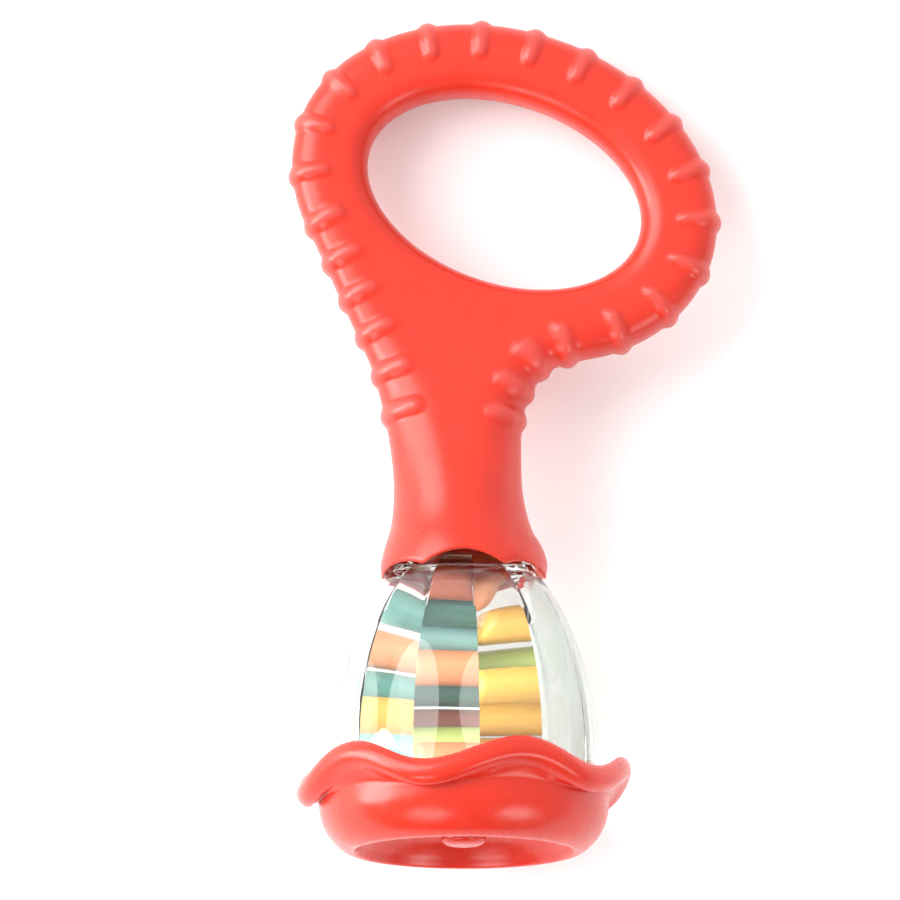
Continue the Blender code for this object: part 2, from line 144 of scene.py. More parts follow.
# Bumper and plug
BUMPER_LINE = [(28.2, 15.0), (28.9, 15.2), (30.0, 16.0), (31.2, 17.3), (32.4, 18.1), (33.5, 17.95),
               (34.3, 17.2), (34.75, 15.7), (34.4, 14.0), (33.2, 12.8), (31.8, 12.1), (30.4, 11.3),
               (30.15, 9.8), (29.7, 7.0), (28.5, 4.2), (26.6, 1.8), (24.9, 0.5), (23.7, 0.05),
               (22.9, 0.15), (22.4, 0.8), (21.4, 2.6), (18.6, 5.4), (13.0, 7.5), (8.0, 8.1)]
LIP_WAVE = [(-43.6, 1.7), (-14.0, -3.2), (22.5, 1.8), (54.0, -2.6), (88.4, 1.6), (126.4, -2.6),
            (164.4, 1.8), (202.4, -3.0), (240.4, 1.8), (278.4, -3.6), (316.4, 1.7)]  # turn in degrees, rise
WAVE_START, WAVE_SPAN = 28.8, 3.4  # radii over which the wave grows
WAVE_FOOT, WAVE_CLIMB = 9.8, 3.0  # heights over which it grows
WEB_TOP, WEB_BOTTOM, WEB_HOLE = 10.4, 8.2, 3.1
PLUG_LINE = [(0.0, 1.25), (2.2, 1.35), (3.4, 1.6), (4.2, 2.1), (4.6, 2.9), (4.6, 5.0), (4.6, 7.9)]
STEM = [(2.8, 7.9), (2.8, 12.5), (2.3, 13.5), (0.0, 13.5)]

# Stage, in metres: each light's name, the setting that holds its power, its place and its size
LIGHTS = [
    ("key_light", "key", (-1.45, 0.80, 1.25), 1.8),
    ("side_light", "side", (-1.0, -0.05, 0.33), 0.6),
    ("front_light_left", "front", (-0.47, -0.88, 0.75), 0.56),
    ("front_light_right", "front", (0.70, -0.84, 0.65), 0.56),
]
CAMERA_OVER = (-0.0114, -0.0011)
SENSOR_WIDTH = 36.0  # mm
FLOOR_HALF = 4.0

MERGE_DISTANCE = 1e-6
DEGENERATE_DISTANCE = 1e-7


# ---------------------------------------------------------------- placing


def toy_axes():
    """The toy's origin and its x, v and w axes in the frame, from the rim mount and the beads' slides."""
    record = frame["record"]
    rim = next(m for m in record["mounts"] if m["name"] == "base_rim")
    up = -np.array(rim["axis"])
    front = np.array(frame["joints"][0]["axis"])
    origin = np.array(rim["pos_m"]) - front * RIM_MOUNT_HEIGHT * MM
    return origin, np.stack([np.array([1.0, 0.0, 0.0]), up, front])


ORIGIN, AXES = toy_axes()


def lay(points):
    """Points (x, v, w) in the toy's millimetres, placed in the frame in metres."""
    return ORIGIN + np.asarray(points, float) * MM @ AXES


def stand(points):
    """Points of the frame in metres, as (x, v, w) in the toy's millimetres."""
    return (np.asarray(points, float) - ORIGIN) @ AXES.T / MM


def strips(grid, wrap=False):
    """Quads between neighbouring rows and columns of a grid of point numbers."""
    here = grid if wrap else grid[:-1]
    beyond = np.roll(grid, -1, axis=0) if wrap else grid[1:]
    return np.stack([here[:, :-1], beyond[:, :-1], beyond[:, 1:], here[:, 1:]], axis=-1).reshape(-1, 4)


def make_piece(name, points, faces, finish, body=BODY, sharp=50.0, marks=None):
    """One closed piece from toy points and quads: merged, turned outwards, smooth but for sharp edges."""
    mesh = bpy.data.meshes.new(name)
    mesh.from_pydata(lay(points), [], np.asarray(faces))
    if marks is not None:
        mesh.attributes.new("rib", "FLOAT", "POINT").data.foreach_set("value", marks.astype(np.float32))
    work = bmesh.new()
    work.from_mesh(mesh)
    bmesh.ops.remove_doubles(work, verts=work.verts, dist=MERGE_DISTANCE)
    bmesh.ops.dissolve_degenerate(work, edges=work.edges, dist=DEGENERATE_DISTANCE)
    bmesh.ops.recalc_face_normals(work, faces=work.faces)
    work.to_mesh(mesh)
    work.free()
    mesh.shade_smooth()
    mesh.set_sharp_from_angle(angle=radians(sharp))
    mesh.materials.append(finish)
    piece = bpy.data.objects.new(name, mesh)
    bpy.context.scene.collection.objects.link(piece)
    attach(piece, body)
    return piece


def turned(profile, segments, shape=None, start=0.0, closed=False):
    """Points and quads of a profile of (radius, height) carried round the axis, which shape may bend."""
    profile = np.asarray(profile, float)
    angle = (start + np.arange(segments) * 2 * pi / segments)[:, None]
    radius = np.broadcast_to(profile[:, 0], (segments, len(profile)))
    height = np.broadcast_to(profile[:, 1], (segments, len(profile)))
    if shape:
        radius, height = shape(radius, height, angle)
    points = np.stack([radius * np.sin(angle), height, radius * np.cos(angle)], axis=-1).reshape(-1, 3)
    grid = np.arange(len(points)).reshape(segments, -1)
    if closed:
        grid = np.concatenate([grid, grid[:, :1]], axis=1)
    return points, strips(grid, wrap=True)


# ---------------------------------------------------------------- curves


def smooth_path(knots, per_span=12):
    """Catmull-Rom curve: each span is a cubic whose slopes at its ends follow the neighbouring knots."""
    knots = np.asarray(knots, float)
    ends = np.concatenate([[2 * knots[0] - knots[1]], knots, [2 * knots[-1] - knots[-2]]])
    t = np.linspace(0, 1, per_span, endpoint=False)[None, :, None]
    a, b, c, d = (ends[i:len(ends) - 3 + i, None] for i in range(4))
    curve = b + 0.5 * ((c - a) * t + (2 * a - 5 * b + 4 * c - d) * t**2 + (3 * b - a - 3 * c + d) * t**3)
    return np.concatenate([curve.reshape(-1, knots.shape[1]), knots[-1:]])


def lengths(path):
    """The length run along a path at each of its points."""
    return np.concatenate([[0], np.cumsum(np.linalg.norm(np.diff(path, axis=0), axis=1))])


def at_lengths(path, places):
    """Points of a path at these lengths along it."""
    run = lengths(path)
    return np.stack([np.interp(places, run, path[:, k]) for k in range(path.shape[1])], axis=-1)


def table(knots, at):
    """A smooth curve through (place, value) knots, read at other places."""
    line = smooth_path(knots)
    return np.interp(at, line[:, 0], line[:, 1])


def on_ellipse(axes, angles, grow=0.0):
    """Points of an ellipse turned about the loop's centre, each moved along its normal by grow."""
    c, s = np.cos(angles), np.sin(angles)
    normal = np.stack([c / axes[0], s / axes[1]], axis=-1)
    normal /= np.linalg.norm(normal, axis=-1, keepdims=True)
    flat = np.stack([axes[0] * c, axes[1] * s], axis=-1) + grow * normal
    turn = np.array([[cos(LOOP_TURN), sin(LOOP_TURN)], [-sin(LOOP_TURN), cos(LOOP_TURN)]])
    return flat @ turn + LOOP_CENTRE


def nearest(path, points):
    """For each point the distance to the nearest place on a path, and that place's length along it."""
    away = np.full(len(points), np.inf)
    place = np.zeros(len(points))
    for start, step, run in zip(path[:-1], np.diff(path, axis=0), lengths(path)):
        share = np.clip(((points - start) @ step) / (step @ step), 0, 1)
        gap = np.linalg.norm(points - start - share[:, None] * step, axis=1)
        place = np.where(gap < away, run + share * np.linalg.norm(step), place)
        away = np.minimum(gap, away)
    return away, place


def shoulder(x, fullness=2.0):
    """Height of a rounded shoulder: 0 at its edge and 1 from x = 1, on a superellipse."""
    return (1 - (1 - np.clip(x, 0, 1)) ** fullness) ** (1 / fullness)


# ---------------------------------------------------------------- handle


def handle_outline():
    """The handle's edge: up the left flank, over the loop's outer ellipse and down the right flank."""
    over = on_ellipse(LOOP_OUTER, np.linspace(*LOOP_LEAVES, LOOP_POINTS))
    return smooth_path([*LEFT_FLANK, *over, *RIGHT_FLANK])


def rib_places():
    """Lengths along the edge at which the ribs stand."""
    places = [FIRST_RIB]
    for count, spacing in RIB_RUNS:
        places += [places[-1] + spacing * (step + 1) for step in range(count)]
    return np.array(places)


def scalloped(points):
    """Lifts the collar's lower end into arches: |cos 3a| raised to a power, higher at the front."""
    side = np.arcsin(np.clip(points[:, 0] / SCALLOP_RADIUS, -1, 1))
    height = SIDE_ARCH + FRONT_ARCH * np.cos(side) ** 2
    arch = height * np.abs(np.cos(SCALLOPS / 2 * side)) ** ARCH_SHARPNESS
    fade = np.clip(1 - (points[:, 1] - LEFT_FLANK[0][1]) / SCALLOP_FADE, 0, 1)
    return points + np.stack([np.zeros(len(points)), (arch + np.cos(side) ** 2) * fade], axis=1)


def handle_sheet(edge, places, rows, inside):
    """Half of the handle's surface: lines run from the edge to the hole, or to the neck's middle line,
    and each point stands out by depth x shoulder(distance from edge) x shoulder(distance from hole)."""
    at = at_lengths(edge, places)
    ahead = at_lengths(edge, places + SLOPE_STEP) - at_lengths(edge, places - SLOPE_STEP)
    ahead /= np.linalg.norm(ahead, axis=1, keepdims=True)
    inward = np.stack([ahead[:, 1], -ahead[:, 0]], axis=1)
    start = at + inside * table(WALL, at[:, 1])[:, None] * inward
    hole_wall = inside * WALL[-1][1]
    neck = np.searchsorted(places, NECK_EDGE)
    up_left = places[:neck] / places[neck]
    up_right = (places[-1] - places[::-1][:neck]) / (places[-1] - places[-1 - neck])
    round_loop = (places - places[neck]) / (places[-1 - neck] - places[neck])
    goal = on_ellipse(LOOP_HOLE, HOLE_BOTTOM - 2 * pi * round_loop, hole_wall)
    middle = smooth_path([*MIDDLE_LINE, on_ellipse(LOOP_HOLE, np.array([HOLE_BOTTOM]), hole_wall)[0]])
    goal[:neck] = at_lengths(middle, (up_left + up_right) / 2 * lengths(middle)[-1])
    goal[-neck:] = goal[:neck][::-1]
    share = (1 - np.cos(np.linspace(0, pi, rows))) / 2
    flat = scalloped((start[:, None] + (goal - start)[:, None] * share[None, :, None]).reshape(-1, 2))
    grid = np.arange(len(flat)).reshape(len(places), rows)
    in_loop = np.arange(neck, len(places) - neck)
    hole = on_ellipse(LOOP_HOLE, np.linspace(0, 2 * pi, 361), hole_wall)
    from_edge, place = nearest(flat[::rows], flat)
    from_hole, _ = nearest(hole, flat)
    from_edge[grid[:, 0]] = 0
    from_hole[grid[in_loop, -1]] = 0
    inset = inside * table(WALL, flat[:, 1])
    rise = shoulder(from_edge / (table(SIDE_ROUNDING, flat[:, 1]) - inset), table(FULLNESS, flat[:, 1]))
    rise *= shoulder(from_hole / (HOLE_ROUNDING - hole_wall), HOLE_FULLNESS)
    height = (table(NECK_DEPTH, flat[:, 1]) - inset) * rise
    return np.column_stack([flat, height + PARTING_GAP]), grid, in_loop, from_edge, place


def sheet_normals(points, grid):
    """Unit normals of a grid of points, from the cross product of its two slopes."""
    net = points[grid]
    normal = np.cross(np.gradient(net, axis=0), np.gradient(net, axis=1))
    normal /= np.maximum(np.linalg.norm(normal, axis=2, keepdims=True), 1e-9)
    return normal.reshape(-1, 3)


def handle_half(settings):
    """Points, quads and rib marks of the front shell: outer skin with ribs, inner skin, rims and lip.
    A rib is a bar with a round end: it lifts the skin along its normal by 1 - r squared, where r is the
    distance from the bar's spine over its half width."""
    edge = handle_outline()
    places = np.linspace(0, lengths(edge)[-1], settings.columns)
    outer, grid, in_loop, from_edge, place = handle_sheet(edge, places, settings.rows, False)
    inner, _, _, _, _ = handle_sheet(edge, places, settings.rows, True)
    reach, half_width = settings.rib_reach / MM, settings.rib_width / MM / 2
    run_scale = lengths(edge)[-1] / lengths(outer[grid[:, 0], :2])[-1]
    beside = np.abs(place[:, None] * run_scale - rib_places()[None]).min(axis=1)
    beyond = np.maximum(from_edge - (reach - half_width), 0)
    bar = np.clip(1 - (np.hypot(beside, beyond) / half_width) ** 2, 0, 1) ** settings.rib_softness
    normal = sheet_normals(outer, grid)
    normal *= np.sign(normal[grid[len(grid) // 2, settings.rows // 2], 2])
    normal[grid[:, 0], 2] = 0
    outer += normal * (bar * settings.rib_height / MM)[:, None]
    groove = outer[grid[:, 0]].copy()
    groove[:, :2] -= normal[grid[:, 0], :2] * PARTING_DEPTH
    groove[:, 2] = PARTING_GAP / 2
    hole_groove = outer[grid[in_loop, -1]].copy()
    hole_groove[:, 2] = PARTING_GAP / 2
    inner[grid[:, 0], 2] = PARTING_GAP / 2
    inner[grid[in_loop, -1], 2] = PARTING_GAP / 2
    points = [outer, inner, groove, hole_groove]
    starts = np.cumsum([0] + [len(p) for p in points])
    inner_grid = grid + starts[1]
    grooves = np.arange(len(groove)) + starts[2]
    hole_grooves = np.arange(len(hole_groove)) + starts[3]
    faces = [strips(grid), strips(inner_grid)]
    faces.append(strips(np.stack([grid[:, 0], grooves, inner_grid[:, 0]], axis=1)))
    faces.append(strips(np.stack([grid[in_loop, -1], hole_grooves, inner_grid[in_loop, -1]], axis=1)))
    first = starts[-1]
    for column in (0, -1):
        turn = np.linspace(0, pi, LIP_STEPS + 2)[1:-1, None, None]
        a, b = outer[grid[column]], inner[grid[column]]
        lip = a + (b - a) * (1 - np.cos(turn)) / 2
        lip[..., 1] -= WALL[0][1] / 2 * np.sin(turn[..., 0])
        points.append(lip.reshape(-1, 3))
        numbers = np.arange(LIP_STEPS * settings.rows).reshape(LIP_STEPS, -1) + first
        faces.append(strips(np.concatenate([[grid[column]], numbers, [inner_grid[column]]])))
        fan = [grooves[column], grid[column, 0], *numbers[:, 0], inner_grid[column, 0]]
        faces.append(np.array([[fan[0], fan[k], fan[k + 1], fan[k + 1]] for k in range(1, len(fan) - 1)]))
        first += len(numbers.reshape(-1))
    points = np.concatenate(points)
    marks = np.zeros(len(points))
    marks[:len(outer)] = bar
    return points, np.concatenate(faces), marks


# ---------------------------------------------------------------- chamber, bumper and beads


def dome_line(first, last, count, shrink=0.0, shorten=0.0):
    """Profile of the ellipsoid between two heights: radius R cos t and height c + L sin t."""
    length = DOME_HALF_LENGTH - shorten
    ends = np.arcsin((np.array([first, last]) - DOME_WAIST) / length)
    turns = np.linspace(*ends, count)
    return np.stack([(DOME_RADIUS - shrink) * np.cos(turns), DOME_WAIST + length * np.sin(turns)], axis=1)


def dome_surface(settings):
    """The chamber: its outside is turned, and its inside has flat facets, each at R cos(half a facet)
    from the axis, so that the radius at an angle off the facet's middle is that over the cosine."""
    wall = settings.wall / MM
    foot = SHOULDER[0][1] + STUD_FILLET
    stud = [(0, STUD_TOP), (STUD_HEAD_RADIUS, STUD_TOP), (STUD_HEAD_RADIUS, STUD_HEAD)]
    stud += [(STUD_RADIUS, STUD_HEAD), (STUD_RADIUS, foot)]
    outside = dome_line(SHOULDER[-1][1] - SHOULDER_DROP, DOME_RIM, settings.rows)
    shoulder_line = smooth_path([*SHOULDER, outside[0]], 4)[:-1]
    crown = DOME_WAIST + DOME_HALF_LENGTH - DOME_CROWN_WALL
    inside = dome_line(DOME_RIM, crown, settings.rows, wall, DOME_CROWN_WALL)
    profile = np.concatenate([stud, shoulder_line, outside, inside])
    first_inside = len(profile) - len(inside)
    part = 2 * pi / settings.facets
    rounded = settings.facet_edge / MM

    def facet(radius, height, angle):
        off = (angle - settings.facet_turn) % part - part / 2
        flat = radius * cos(part / 2) / np.cos(off)
        edge = radius - rounded * (1 / cos(part / 2) - 1)
        return np.where(np.arange(len(profile)) < first_inside, radius, np.minimum(flat, edge)), height

    return turned(profile, settings.facets * settings.columns_per_facet, facet, settings.facet_turn)


def bumper_surface(settings):
    """Turned cup whose lip waves: between a crest and a valley it falls by half a cosine, and the wave
    fades in across the flange."""
    line = smooth_path(BUMPER_LINE, 6)
    turns, rises = np.radians(LIP_WAVE)[:, 0], np.array(LIP_WAVE)[:, 1]
    web = [(WEB_HOLE, WEB_BOTTOM), (WEB_HOLE, WEB_TOP), (BUMPER_LINE[0][0], WEB_TOP)]

    def wave(radius, height, angle):
        share = np.clip((radius - WAVE_START) / WAVE_SPAN, 0, 1)
        climb = np.clip((height - WAVE_FOOT) / WAVE_CLIMB, 0, 1)
        share, climb = share * share * (3 - 2 * share), climb * climb * (3 - 2 * climb)
        after = np.clip(np.searchsorted(turns, angle, side="right"), 1, len(turns) - 1)
        passed = (angle - turns[after - 1]) / (turns[after] - turns[after - 1])
        swing = rises[after - 1] + (rises[after] - rises[after - 1]) * (1 - np.cos(pi * passed)) / 2
        return radius, height + settings.wave_scale * share * climb * swing

    return turned(np.concatenate([line, web]), settings.segments, wave, start=turns[0], closed=True)


def plug_surface():
    """Round button with a domed face and a plain stem."""
    return turned(np.concatenate([smooth_path(PLUG_LINE, 5), STEM]), 64)


def bead_surface(centre, settings):
    """A short cylinder across the toy, with rounded ends: its profile's corner is a quarter circle."""
    radius, half = settings.radius / MM, settings.length / MM / 2
    corner = settings.corner / MM
    turn = np.linspace(0, pi / 2, 6)
    end = np.stack([radius + corner * (np.sin(turn) - 1), half + corner * (np.cos(turn) - 1)], axis=1)
    profile = np.concatenate([[(0.0, half)], end, end[::-1] * [1, -1], [(0.0, -half)]])
    angle = np.arange(settings.sides)[:, None] * 2 * pi / settings.sides
    out, along = profile[:, 0], profile[:, 1] + 0 * angle
    net = np.stack([along, out * np.sin(angle), out * np.cos(angle)], axis=-1)
    grid = np.arange(settings.sides * len(profile)).reshape(settings.sides, -1)
    return net.reshape(-1, 3) + centre, strips(grid, wrap=True)


# ---------------------------------------------------------------- finishes


def new_finish(name):
    """A material that holds only a shader and an output, with its node tree, shader and output."""
    finish = bpy.data.materials.get(name) or bpy.data.materials.new(name)
    finish.use_nodes = True
    tree = finish.node_tree
    tree.nodes.clear()
    output = tree.nodes.new("ShaderNodeOutputMaterial")
    shader = tree.nodes.new("ShaderNodeBsdfPrincipled")
    tree.links.new(shader.outputs["BSDF"], output.inputs["Surface"])
    return finish, tree, shader, output


def noise(tree, scale, detail=3.0, roughness=0.5):
    """Noise on the piece's own coordinates, in cells per metre."""
    place = tree.nodes.new("ShaderNodeTexCoord")
    made = tree.nodes.new("ShaderNodeTexNoise")
    made.inputs["Scale"].default_value = scale
    made.inputs["Detail"].default_value = detail
    made.inputs["Roughness"].default_value = roughness
    tree.links.new(place.outputs["Object"], made.inputs["Vector"])
    return made.outputs["Fac"]


def spread(tree, value, low, high, from_low=0.3, from_high=0.7):
    """A noise value spread to the range from low to high."""
    made = tree.nodes.new("ShaderNodeMapRange")
    made.inputs["From Min"].default_value = from_low
    made.inputs["From Max"].default_value = from_high
    made.inputs["To Min"].default_value = low
    made.inputs["To Max"].default_value = high
    tree.links.new(value, made.inputs["Value"])
    return made.outputs["Result"]


def blend_colours(tree, share, first, second):
    """A colour between two others, by share."""
    made = tree.nodes.new("ShaderNodeMix")
    made.data_type = "RGBA"
    for socket, colour in (("A", first), ("B", second)):
        target = [s for s in made.inputs if s.name == socket and s.type == "RGBA"][0]
        if isinstance(colour, bpy.types.NodeSocket):
            tree.links.new(colour, target)
        else:
            target.default_value = (*colour, 1.0)
    tree.links.new(share, made.inputs["Factor"])
    return [s for s in made.outputs if s.type == "RGBA"][0]


def bumps(tree, shader, layers):
    """Chained bump nodes: each layer is a noise value and its height in millimetres."""
    normal = None
    for value, height in layers:
        bump = tree.nodes.new("ShaderNodeBump")
        bump.inputs["Strength"].default_value = 1.0
        bump.inputs["Distance"].default_value = height * MM
        tree.links.new(value, bump.inputs["Height"])
        if normal:
            tree.links.new(normal, bump.inputs["Normal"])
        normal = bump.outputs["Normal"]
    tree.links.new(normal, shader.inputs["Normal"])


def shade(colour, factor):
    """A colour made lighter or darker, no brighter than white."""
    return tuple(min(part * factor, 1.0) for part in colour)


def moulded_plastic(name, colour, gloss_low, gloss_high, cloud=0.07, painted_rib_highlight=False):
    """Satin moulded plastic: cloudy pigment, uneven gloss, soft flow waves and a fine skin grain, and on
    request a painted highlight on the rib tops (a paler tint in the base colour).
    """
    finish, tree, shader, _ = new_finish(name)
    cloudy = spread(tree, noise(tree, 70.0, 4.0), 0.0, 1.0)
    tint = blend_colours(tree, cloudy, shade(colour, 1 - cloud), shade(colour, 1 + cloud))
    gloss = spread(tree, noise(tree, 260.0, 5.0, 0.6), gloss_low, gloss_high)
    if painted_rib_highlight:
        # Painted highlight: the rib tops, read from the rib attribute, are tinted paler where light glints
        # on them.
        mark = tree.nodes.new("ShaderNodeAttribute")
        mark.attribute_name = "rib"
        rib_highlight_share = spread(tree, mark.outputs["Fac"], 0.0, 0.35, 0.35, 1.0)
        pale = tuple(part + 0.10 * (1 - part) for part in colour)
        tint = blend_colours(tree, rib_highlight_share, tint, pale)
    tree.links.new(tint, shader.inputs["Base Color"])
    tree.links.new(gloss, shader.inputs["Roughness"])
    shader.inputs["IOR"].default_value = 1.45
    shader.inputs["Coat Weight"].default_value = 0.06
    shader.inputs["Coat Roughness"].default_value = 0.25
    bumps(tree, shader, [(noise(tree, 55.0, 2.0), 0.10), (noise(tree, 2600.0, 3.0), 0.006)])
    return finish


def clear_plastic(name, tint, edge_tint):
    """Clear moulded plastic that lets lamp light through: greyer where the eye looks along the wall,
    with faint flow waves and scuffed gloss."""
    finish, tree, shader, output = new_finish(name)
    scuffs = spread(tree, noise(tree, 420.0, 6.0, 0.65), 0.0, 0.05, 0.5, 0.75)
    tree.links.new(scuffs, shader.inputs["Roughness"])
    slant = tree.nodes.new("ShaderNodeLayerWeight")
    slant.inputs["Blend"].default_value = 0.5
    grey = spread(tree, slant.outputs["Facing"], 0.0, 1.0, 0.15, 0.75)
    tree.links.new(blend_colours(tree, grey, tint, edge_tint), shader.inputs["Base Color"])
    shader.inputs["Transmission Weight"].default_value = 1.0
    shader.inputs["IOR"].default_value = 1.5
    bumps(tree, shader, [(noise(tree, 90.0, 2.0), 0.02)])
    through = tree.nodes.new("ShaderNodeBsdfTransparent")
    through.inputs["Color"].default_value = (*shade(tint, 0.97), 1.0)
    path = tree.nodes.new("ShaderNodeLightPath")
    mix = tree.nodes.new("ShaderNodeMixShader")
    tree.links.new(path.outputs["Is Shadow Ray"], mix.inputs["Fac"])
    tree.links.new(shader.outputs["BSDF"], mix.inputs[1])
    tree.links.new(through.outputs["BSDF"], mix.inputs[2])
    tree.links.new(mix.outputs["Shader"], output.inputs["Surface"])
    return finish


def floor_finish(colour):
    """Pale matt paper with a very fine tooth."""
    finish, tree, shader, _ = new_finish("pale paper")
    cloudy = spread(tree, noise(tree, 3.0, 2.0), 0.0, 1.0)
    tree.links.new(blend_colours(tree, cloudy, shade(colour, 0.995), colour), shader.inputs["Base Color"])
    shader.inputs["Roughness"].default_value = 0.9
    shader.inputs["Specular IOR Level"].default_value = 0.1
    bumps(tree, shader, [(noise(tree, 900.0, 3.0), 0.01)])
    return finish


# ---------------------------------------------------------------- settings


def length_setting(name, description, millimetres):
    """A length, given in millimetres and kept in metres."""
    return bpy.props.FloatProperty(name=name, description=description, default=millimetres * MM, min=0.0,
                                   precision=5, subtype="DISTANCE", unit="LENGTH")


def colour_setting(name, description, colour):
    """A colour, in linear red, green and blue."""
    return bpy.props.FloatVectorProperty(name=name, description=description, default=colour, size=3,
                                         min=0.0, max=1.0, subtype="COLOR")


def power_setting(name, description, watts):
    """A light's power in watts."""
    return bpy.props.FloatProperty(name=name, description=description, default=watts, min=0.0,
                                   subtype="POWER", unit="POWER")


class RattleHandleSettings(bpy.types.PropertyGroup):
    """Sizes and colour of the red handle."""

    rib_height: length_setting("Rib height", "How far a teething rib stands out", 0.9)
    rib_width: length_setting("Rib width", "Width of a teething rib at its foot", 4.6)
    rib_reach: length_setting("Rib reach", "How far a rib runs in from the edge", 8.6)
    rib_softness: bpy.props.FloatProperty(name="Rib softness", description="Higher softens a rib's foot",
                                          default=1.5, min=0.5, max=4.0)
    columns: bpy.props.IntProperty(name="Columns", description="Lines of points round the edge",
                                   default=940, min=200, max=1200)
    rows: bpy.props.IntProperty(name="Rows", description="Points from the edge to the hole",
                                default=40, min=12, max=60)
    colour: colour_setting("Red", "Colour of the handle, bumper and plug", (0.60, 0.022, 0.007))


class RattleChamberSettings(bpy.types.PropertyGroup):
    """Sizes and tint of the clear chamber and its floor."""

    wall: length_setting("Wall", "Thickness of the clear wall at a facet's edge", 1.6)
    facet_edge: length_setting("Facet edge", "How much the edges between the flat facets are eased", 0.3)
    facets: bpy.props.IntProperty(name="Facets", description="Flat facets inside the chamber",
                                  default=12, min=6, max=24)
    facet_turn: bpy.props.FloatProperty(name="Facet turn", description="Turn of the first facet's edge",
                                        default=radians(7), subtype="ANGLE", unit="ROTATION")
    columns_per_facet: bpy.props.IntProperty(name="Columns", description="Lines of points across a facet",
                                             default=16, min=4, max=32)
    rows: bpy.props.IntProperty(name="Rows", description="Points up each side of the wall",
                                default=72, min=16, max=120)
    tint: colour_setting("Tint", "Tint of the clear plastic", (0.95, 0.975, 0.96))
    edge_tint: colour_setting("Edge tint", "Tint where the wall is seen from the side", (0.54, 0.62, 0.58))
    floor_colour: colour_setting("Floor", "Colour of the chamber's floor", (0.82, 0.84, 0.81))


class RattleBumperSettings(bpy.types.PropertyGroup):
    """Sizes of the bumper's wavy lip."""

    wave_scale: bpy.props.FloatProperty(name="Wave scale", description="Height of the lip's waves",
                                        default=1.0, min=0.0, max=1.5, subtype="FACTOR")
    segments: bpy.props.IntProperty(name="Segments", description="Lines of points round the bumper",
                                    default=288, min=48, max=480)


class RattleBeadSettings(bpy.types.PropertyGroup):
    """Size and colours of the loose beads."""

    radius: length_setting("Radius", "Radius of a bead", 3.8)
    length: length_setting("Length", "Length of a bead", 6.4)
    corner: length_setting("Corner", "Rounding at a bead's ends", 0.9)
    sides: bpy.props.IntProperty(name="Sides", description="Lines of points round a bead",
                                 default=48, min=12, max=96)
    orange: colour_setting("Orange", "Colour of the orange beads", (0.76, 0.27, 0.12))
    amber: colour_setting("Amber", "Colour of the amber beads", (0.70, 0.38, 0.06))
    lime: colour_setting("Lime", "Colour of the lime beads", (0.52, 0.62, 0.16))
    teal: colour_setting("Teal", "Colour of the teal beads", (0.075, 0.23, 0.20))
    blue: colour_setting("Light blue", "Colour of the light blue beads", (0.34, 0.62, 0.64))
    brick: colour_setting("Brick", "Colour of the brick red beads", (0.46, 0.11, 0.06))


class RattleStageSettings(bpy.types.PropertyGroup):
    """Floor, lights and camera."""

    floor_colour: colour_setting("Floor", "Colour of the paper floor", (0.95, 0.95, 0.95))
    near_wall: bpy.props.FloatProperty(name="Near wall", description="Brightness below the bumper",
                                       default=0.30, min=0.0)
    far_wall: bpy.props.FloatProperty(name="Far wall", description="Brightness beyond the loop",
                                      default=1.25, min=0.0)
    key: power_setting("Key light", "Power of the large soft light at the upper left", 46.0)
    side: power_setting("Side light", "Power of the low soft light at the left", 9.0)
    front: power_setting("Front lights", "Power of each small soft light beyond the bumper", 4.0)
    distance: length_setting("Camera height", "Height of the camera above the floor", 3000.0)
    view_width: length_setting("View width", "Width of what the camera sees at the floor", 189.0)


# ---------------------------------------------------------------- operators


class RATTLE_OT_handle(bpy.types.Operator):
    """Build the two shells of the looped handle"""

    bl_idname = "rattle.handle"
    bl_label = "Handle"

    def execute(self, context):
        settings = context.scene.rattle_handle
        # The handle's rib tops carry a painted highlight, a paler tint in the base colour.
        red = moulded_plastic("red moulded plastic", tuple(settings.colour), 0.26, 0.40, painted_rib_highlight=True)
        points, faces, marks = handle_half(settings)
        for name, side in (("handle_front", 1), ("handle_rear", -1)):
            shell = make_piece(name, points * [1, 1, side], faces, red, marks=marks, sharp=60.0)
            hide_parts(f"{name}_shell")
        return {"FINISHED"}


class RATTLE_OT_chamber(bpy.types.Operator):
    """Build the clear faceted chamber"""

    bl_idname = "rattle.chamber"
    bl_label = "Chamber"

    def execute(self, context):
        settings = context.scene.rattle_chamber
        clear = clear_plastic("clear plastic", tuple(settings.tint), tuple(settings.edge_tint))
        dome = make_piece("chamber", *dome_surface(settings), clear, sharp=25.0)
        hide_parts("clear_dome")
        return {"FINISHED"}


class RATTLE_OT_chamber_floor(bpy.types.Operator):
    """Finish the chamber's white floor"""

    bl_idname = "rattle.chamber_floor"
    bl_label = "Chamber floor"

    def execute(self, context):
        colour = tuple(context.scene.rattle_chamber.floor_colour)
        white = moulded_plastic("white moulded plastic", colour, 0.30, 0.45, cloud=0.03)
        for material_slot in frame["nodes"]["chamber_floor"].material_slots:
            material_slot.material = white
        return {"FINISHED"}


class RATTLE_OT_bumper(bpy.types.Operator):
    """Build the bumper with its wavy lip, and the plug that holds it"""

    bl_idname = "rattle.bumper"
    bl_label = "Bumper and plug"

    def execute(self, context):
        red = moulded_plastic("red bumper plastic", tuple(context.scene.rattle_handle.colour), 0.20, 0.34)
        cup = make_piece("bumper", *bumper_surface(context.scene.rattle_bumper), red, sharp=60.0)
        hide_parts("base_bumper")
        plug = make_piece("plug", *plug_surface(), red)
        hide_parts("retaining_plug")
        return {"FINISHED"}


